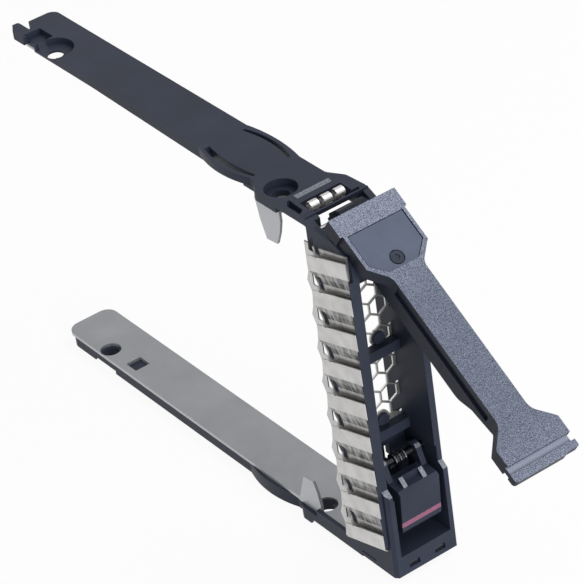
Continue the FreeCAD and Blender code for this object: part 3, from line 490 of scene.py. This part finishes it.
def spring_stainless(look):
    """Half-hard stainless strip: bright where it is flat, with a streaked painted dark reflection
    in its bends.
    """
    mat, tree = material("Stainless spring steel, bright rolled")
    place = add(tree, "ShaderNodeTexCoord").outputs["Object"]
    stretched = add(
        tree,
        "ShaderNodeMapping",
        {"Scale": (1.0, 1.0, 0.1)},
        {"Vector": place},
    ).outputs["Vector"]
    # The rolling grain runs up the strip, about 0.3 mm apart.
    lines = add(
        tree,
        "ShaderNodeTexNoise",
        {"Scale": cycles_per_metre(0.3), "Detail": 3.0, "Roughness": 0.6},
        {"Vector": stretched},
    ).outputs["Fac"]
    # Its brightness drifts over some 3 mm.
    cloud = add(
        tree,
        "ShaderNodeTexNoise",
        {"Scale": cycles_per_metre(3.0), "Detail": 3.0},
        {"Vector": place},
    ).outputs["Fac"]
    # The painted dark reflection runs in streaks, about 1 mm apart, down each bend.
    streaks = add(
        tree,
        "ShaderNodeTexNoise",
        {"Scale": cycles_per_metre(1.0), "Detail": 2.0},
        {"Vector": stretched},
    ).outputs["Fac"]
    drawn = add(
        tree,
        "ShaderNodeMapRange",
        {"From Min": 0.36, "From Max": 0.6, "To Min": 0.4, "To Max": 1.0},
        {"Value": streaks},
    )
    # Faces that tilt down, in the bends, take the streaked painted dark reflection.
    bent = add(
        tree,
        "ShaderNodeMath",
        links={0: looking(tree, BEND_FACE, BEND_REFLECTION_FACING), 1: drawn.outputs["Result"]},
        operation="MULTIPLY",
    )
    colour = add(
        tree,
        "ShaderNodeMix",
        {SECOND: linear(look.spring_dark_reflection)},
        {
            SHARE: bent.outputs[0],
            FIRST: two_tones(tree, cloud, look.spring_dark, look.spring_light),
        },
        data_type="RGBA",
    )
    gloss = add(tree, "ShaderNodeMapRange", {"To Min": 0.26, "To Max": 0.4}, {"Value": lines})
    bump = add(
        tree,
        "ShaderNodeBump",
        {"Strength": 0.12, "Distance": 0.01 * MM},
        {"Height": lines},
    )
    shader = add(
        tree,
        "ShaderNodeBsdfPrincipled",
        {"Metallic": 0.9},
        {
            "Base Color": colour.outputs[MIXED],
            "Roughness": gloss.outputs["Result"],
            "Normal": bump.outputs["Normal"],
        },
    )
    add(tree, "ShaderNodeOutputMaterial", links={"Surface": shader.outputs["BSDF"]})
    return mat


def drawn_wire(name, dark, light):
    """Drawn steel wire and pins: smooth and shiny, with fine marks from the die."""
    mat, tree = material(name)
    place = add(tree, "ShaderNodeTexCoord").outputs["Object"]
    # The die's marks are finer than 0.1 mm. They are drawn at 0.3 mm so that they show.
    marks = add(
        tree,
        "ShaderNodeTexNoise",
        {"Scale": cycles_per_metre(0.3), "Detail": 2.0},
        {"Vector": place},
    ).outputs["Fac"]
    gloss = add(tree, "ShaderNodeMapRange", {"To Min": 0.3, "To Max": 0.46}, {"Value": marks})
    shader = add(
        tree,
        "ShaderNodeBsdfPrincipled",
        {"Metallic": 1.0},
        {
            "Base Color": two_tones(tree, marks, dark, light),
            "Roughness": gloss.outputs["Result"],
        },
    )
    add(tree, "ShaderNodeOutputMaterial", links={"Surface": shader.outputs["BSDF"]})
    return mat


def acetal_inlay(look):
    """Coloured acetal let into the button: a waxy, even stripe."""
    mat, tree = material("Magenta acetal, moulded")
    place = add(tree, "ShaderNodeTexCoord").outputs["Object"]
    # The pigment varies a little over some 0.4 mm.
    wax = add(
        tree,
        "ShaderNodeTexNoise",
        {"Scale": cycles_per_metre(0.4), "Detail": 2.0},
        {"Vector": place},
    ).outputs["Fac"]
    gloss = add(tree, "ShaderNodeMapRange", {"To Min": 0.4, "To Max": 0.5}, {"Value": wax})
    shader = add(
        tree,
        "ShaderNodeBsdfPrincipled",
        {"IOR": ACETAL_IOR},
        {
            "Base Color": two_tones(tree, wax, look.stripe_dark, look.stripe_light),
            "Roughness": gloss.outputs["Result"],
        },
    )
    add(tree, "ShaderNodeOutputMaterial", links={"Surface": shader.outputs["BSDF"]})
    return mat


def smoked_polycarbonate(look):
    """Smoked polycarbonate light guide, polished: nearly black until it is lit."""
    mat, tree = material("Smoked polycarbonate, polished")
    place = add(tree, "ShaderNodeTexCoord").outputs["Object"]
    # The smoke varies a little over some 0.8 mm.
    haze = add(
        tree,
        "ShaderNodeTexNoise",
        {"Scale": cycles_per_metre(0.8), "Detail": 2.0},
        {"Vector": place},
    ).outputs["Fac"]
    gloss = add(tree, "ShaderNodeMapRange", {"To Min": 0.12, "To Max": 0.2}, {"Value": haze})
    shader = add(
        tree,
        "ShaderNodeBsdfPrincipled",
        {"IOR": POLYCARBONATE_IOR},
        {
            "Base Color": two_tones(tree, haze, look.guide_dark, look.guide_light),
            "Roughness": gloss.outputs["Result"],
        },
    )
    add(tree, "ShaderNodeOutputMaterial", links={"Surface": shader.outputs["BSDF"]})
    return mat


def dress(names, mat):
    """Gives CAD nodes a finish in every material slot."""
    for name in names:
        for slot in NODES[name].material_slots:
            slot.material = mat


def round_edges(name, width):
    """Rounds a node's edges, this wide in millimetres. Its own mesh stays as it is."""
    piece = NODES[name]
    # Each node from model.glb keeps its faces apart at its creases. They are joined here.
    weld = piece.modifiers.new("Weld", "WELD")
    weld.merge_threshold = WELD_REACH
    flat = piece.modifiers.new("Flat", "DECIMATE")
    flat.decimate_type = "DISSOLVE"
    flat.angle_limit = FLAT_ANGLE
    bevel = piece.modifiers.new("Edge", "BEVEL")
    bevel.width = width * MM
    bevel.segments = 2
    bevel.limit_method = "ANGLE"
    bevel.angle_limit = EDGE_ANGLE
    bevel.harden_normals = True


def colour_text(name, description, default):
    """A property that holds an sRGB hex colour."""
    return StringProperty(name=name, description=description, default=default)


class CarrierLooks(PropertyGroup):
    """The colours of the finishes, and the rounded edge of the lever's panel."""

    body_dark: colour_text("Body, dark", "Darker tone of the moulded body", "#252a37")
    body_light: colour_text("Body, light", "Lighter tone of the moulded body", "#2d3241")
    # Tones of the painted highlight on the ramps and the ledge.
    ramp_highlight_dark: colour_text("Ramps, dark", "Darker tone of the rubbed ramps", "#565a64")
    ramp_highlight_light: colour_text("Ramps, light", "Lighter tone of the rubbed ramps", "#8b8e97")
    panel_dark: colour_text("Panel, dark", "Darker tone of the lever's smooth panel", "#3f4759")
    panel_light: colour_text("Panel, light", "Lighter tone of the lever's smooth panel", "#485063")
    grain_dark: colour_text("Lever, dark", "Tone between the lever's pebbles", "#353a48")
    grain_light: colour_text("Lever, light", "Tone of the lever's pebbles", "#737a8b")
    # Tones of the painted highlight on the lever's ends.
    end_highlight_dark: colour_text("Lever ends, dark", "Tone between the worn pebbles", "#3d4352")
    end_highlight_light: colour_text("Lever ends, light", "Tone of the worn pebbles", "#8d93a4")
    groove: colour_text("Lever, groove", "Tone of the smooth groove at its foot", "#7c8392")
    # Painted shade on the sides and deep recesses of the lever and the panel.
    lever_side_shade: colour_text("Lever, sides", "Tone of the lever's plain sides", "#171b27")
    steel_dark: colour_text("Rail steel, dark", "Darker clouds in the zinc", "#898b8e")
    steel_light: colour_text("Rail steel, light", "Lighter clouds in the zinc", "#929497")
    # Painted highlight on plate faces that look towards -X.
    steel_side_highlight: colour_text("Rail steel, tabs", "Tone of the bent tabs", "#b6b8bb")
    spring_dark: colour_text("Strip, dark", "Darker tone of the stainless strip", "#b8b7b6")
    spring_light: colour_text("Strip, light", "Lighter tone of the stainless strip", "#cccbc9")
    # Painted dark reflection in the strip's bends.
    spring_dark_reflection: colour_text("Strip, bends", "Tone of the strip where it is bent under", "#111113")
    wire_dark: colour_text("Lever pins, dark", "Darker tone of the lever's pins", "#8b8c90")
    wire_light: colour_text("Lever pins, light", "Lighter tone of the lever's pins", "#b3b4b8")
    black_dark: colour_text("Button pin, dark", "Darker tone of the button's pin", "#1d1e21")
    black_light: colour_text("Button pin, light", "Lighter tone of the button's pin", "#3c3d41")
    coil_dark: colour_text("Spring, dark", "Darker tone of the button's spring", "#46484c")
    coil_light: colour_text("Spring, light", "Lighter tone of the button's spring", "#6e7075")
    stripe_dark: colour_text("Stripe, dark", "Darker tone of the button's stripe", "#6f3c54")
    stripe_light: colour_text("Stripe, light", "Lighter tone of the button's stripe", "#85506a")
    guide_dark: colour_text("Light guide, dark", "Darker tone of the light guides", "#17181c")
    guide_light: colour_text("Light guide, light", "Lighter tone of the light guides", "#2a2c33")
    # The rounded edge is dark from the panel's painted shade on faces turned from the front.
    panel_edge: FloatProperty(
        name="Panel edge",
        description="Dark rounded edge of the lever's smooth panel, in millimetres",
        default=0.28,
        min=0.0,
    )


class CarrierStage(PropertyGroup):
    """The camera as it was fitted to the photograph, and the even light."""

    camera_place: FloatVectorProperty(
        name="Camera place",
        description="Camera in the carrier's frame",
        default=(-0.27546, -0.46993, 0.39244),
        subtype="TRANSLATION",
        unit="LENGTH",
    )
    camera_turn: FloatVectorProperty(
        name="Camera turn",
        description="Camera's turn about X, Y and Z",
        default=(0.980273, 0.122665, -0.641669),
        subtype="EULER",
        unit="ROTATION",
    )
    camera_lens: FloatProperty(
        name="Lens",
        description="Focal length for a 36 mm sensor on the picture's long side",
        default=200.49,
        unit="CAMERA",
    )
    world_level: FloatProperty(
        name="World level",
        description="Strength of the even light from all round",
        default=0.34,
    )


class CARRIER_OT_plastic(Operator):
    """Finish the moulded rails, bezel, button and rivet"""

    bl_idname = "carrier.plastic"
    bl_label = "Moulded plastic"

    def execute(self, context):
        look = context.scene.carrier_looks
        rails = ("upper_rail", "lower_rail")
        moulded = (*rails, "bezel_frame", "release_button", "panel_rivet")
        dress(moulded, satin_moulded_abs(look))
        return {"FINISHED"}


class CARRIER_OT_lever(Operator):
    """Finish the textured lever and its smooth panel"""

    bl_idname = "carrier.lever"
    bl_label = "Lever"

    def execute(self, context):
        look = context.scene.carrier_looks
        dress(("lever_handle",), spark_grained_abs(look))
        dress(("lever_panel",), satin_panel_abs(look))
        round_edges("lever_panel", look.panel_edge)
        return {"FINISHED"}


class CARRIER_OT_steel(Operator):
    """Finish the steel plates of the rails"""

    bl_idname = "carrier.steel"
    bl_label = "Rail plates"

    def execute(self, context):
        look = context.scene.carrier_looks
        plates = ("upper_rail_plate", "lower_rail_plate")
        dress(plates, zinc_plated_steel(look))
        return {"FINISHED"}


class CARRIER_OT_stainless(Operator):
    """Finish the spring fingers, contacts and honeycomb screen"""

    bl_idname = "carrier.stainless"
    bl_label = "Stainless strip and screen"

    def execute(self, context):
        look = context.scene.carrier_looks
        springs = ("side_finger_strip", "top_contact_spring")
        dress((*springs, "mesh_screen"), spring_stainless(look))
        return {"FINISHED"}


class CARRIER_OT_wire(Operator):
    """Finish the pins and the button's spring"""

    bl_idname = "carrier.wire"
    bl_label = "Pins and spring"

    def execute(self, context):
        look = context.scene.carrier_looks
        bright = drawn_wire("Drawn steel wire, bright", look.wire_dark, look.wire_light)
        black = drawn_wire("Drawn steel wire, blackened", look.black_dark, look.black_light)
        oiled = drawn_wire("Drawn steel wire, oiled", look.coil_dark, look.coil_light)
        dress(("lever_pivot_pin", "lever_stop_pin"), bright)
        dress(("button_pivot_pin",), black)
        dress(("button_spring",), oiled)
        return {"FINISHED"}


class CARRIER_OT_stripe(Operator):
    """Finish the stripe and the light guides"""

    bl_idname = "carrier.stripe"
    bl_label = "Stripe and light guides"

    def execute(self, context):
        look = context.scene.carrier_looks
        dress(("button_stripe",), acetal_inlay(look))
        guides = ("light_window_left", "light_window_right")
        dress(guides, smoked_polycarbonate(look))
        return {"FINISHED"}


def seen(tree):
    """1 for the rays of the camera, of mirrors and of glass, and 0 for the light."""
    path = add(tree, "ShaderNodeLightPath")
    rays = path.outputs["Is Camera Ray"]
    for name in ("Is Glossy Ray", "Is Transmission Ray"):
        either = add(
            tree,
            "ShaderNodeMath",
            links={0: rays, 1: path.outputs[name]},
            operation="MAXIMUM",
        )
        rays = either.outputs[0]
    return rays


def floor_material():
    """A pale sweep that keeps the shadow, and shows nearly white to the camera."""
    mat, tree = material("Pale studio sweep")
    tone = (FLOOR_TONE, FLOOR_TONE, FLOOR_TONE, 1.0)
    lit = add(tree, "ShaderNodeBsdfDiffuse", {"Color": tone})
    white = add(tree, "ShaderNodeEmission", {"Color": (1, 1, 1, 1), "Strength": 1.0})
    share = add(
        tree,
        "ShaderNodeMath",
        {1: FLOOR_WHITE},
        {0: seen(tree)},
        operation="MULTIPLY",
    )
    mix = add(
        tree,
        "ShaderNodeMixShader",
        links={"Fac": share.outputs[0], 1: lit.outputs[0], 2: white.outputs[0]},
    )
    add(tree, "ShaderNodeOutputMaterial", links={"Surface": mix.outputs[0]})
    return mat


def make_floor():
    """A flat square of floor under the carrier."""
    signs = ((-1, -1), (1, -1), (1, 1), (-1, 1))
    corners = [(x * FLOOR_REACH, y * FLOOR_REACH, 0) for x, y in signs]
    mesh = bpy.data.meshes.new("floor")
    mesh.from_pydata(corners, [], [(0, 1, 2, 3)])
    floor = bpy.data.objects.new("floor", mesh)
    bpy.context.scene.collection.objects.link(floor)
    mesh.materials.append(floor_material())


def make_world(level):
    """Even white light, and pure white where the camera or a mirror sees it."""
    world = bpy.data.worlds.new("Studio")
    bpy.context.scene.world = world
    world.use_nodes = True
    tree = world.node_tree
    tree.nodes.clear()
    strength = add(
        tree,
        "ShaderNodeMapRange",
        {"To Min": level, "To Max": 1.0},
        {"Value": seen(tree)},
    )
    shine = add(
        tree,
        "ShaderNodeBackground",
        {"Color": (1, 1, 1, 1)},
        {"Strength": strength.outputs["Result"]},
    )
    add(tree, "ShaderNodeOutputWorld", links={"Surface": shine.outputs[0]})


def make_lamp(name, place, power):
    """A soft square lamp that faces the middle of the carrier."""
    lamp = bpy.data.lights.new(name, "AREA")
    lamp.size = LAMP_WIDTH
    lamp.energy = power
    body = bpy.data.objects.new(name, lamp)
    bpy.context.scene.collection.objects.link(body)
    body.location = place
    aim = Vector(LAMP_TARGET) - Vector(place)
    body.rotation_euler = aim.to_track_quat("-Z", "Y").to_euler()


class CARRIER_OT_stage(Operator):
    """Set up the floor, the lamps and the camera"""

    bl_idname = "carrier.stage"
    bl_label = "Stage"

    def execute(self, context):
        scene = context.scene
        stage = scene.carrier_stage
        scene.view_settings.view_transform = "Standard"
        make_floor()
        make_world(stage.world_level)
        for lamp in LAMPS:
            make_lamp(*lamp)
        data = bpy.data.cameras.new("camera")
        data.sensor_width = SENSOR_WIDTH
        data.lens = stage.camera_lens
        data.clip_start, data.clip_end = VIEW_DEPTH
        camera = bpy.data.objects.new("camera", data)
        scene.collection.objects.link(camera)
        camera.location = stage.camera_place
        camera.rotation_euler = stage.camera_turn
        scene.camera = camera
        return {"FINISHED"}


OPERATORS = (
    CARRIER_OT_plastic,
    CARRIER_OT_lever,
    CARRIER_OT_steel,
    CARRIER_OT_stainless,
    CARRIER_OT_wire,
    CARRIER_OT_stripe,
    CARRIER_OT_stage,
)


class CARRIER_PT_looks(Panel):
    """Lists the finishes in the sidebar"""

    bl_label = "Drive Carrier"
    bl_idname = "CARRIER_PT_looks"
    bl_space_type = "VIEW_3D"
    bl_region_type = "UI"
    bl_category = "Drive Carrier"

    def draw(self, context):
        column = self.layout.column()
        for operator in OPERATORS:
            column.operator(operator.bl_idname)
        scene = context.scene
        for group in (scene.carrier_looks, scene.carrier_stage):
            for name in type(group).__annotations__:
                column.prop(group, name)


CLASSES = (CarrierLooks, CarrierStage, *OPERATORS, CARRIER_PT_looks)


def register():
    for cls in CLASSES:
        bpy.utils.register_class(cls)
    bpy.types.Scene.carrier_looks = PointerProperty(type=CarrierLooks)
    bpy.types.Scene.carrier_stage = PointerProperty(type=CarrierStage)


def unregister():
    del bpy.types.Scene.carrier_stage
    del bpy.types.Scene.carrier_looks
    for cls in reversed(CLASSES):
        bpy.utils.unregister_class(cls)


def main():
    register()
    for operator in OPERATORS:
        group, name = operator.bl_idname.split(".")
        getattr(getattr(bpy.ops, group), name)()


if __name__ == "__main__":
    main()
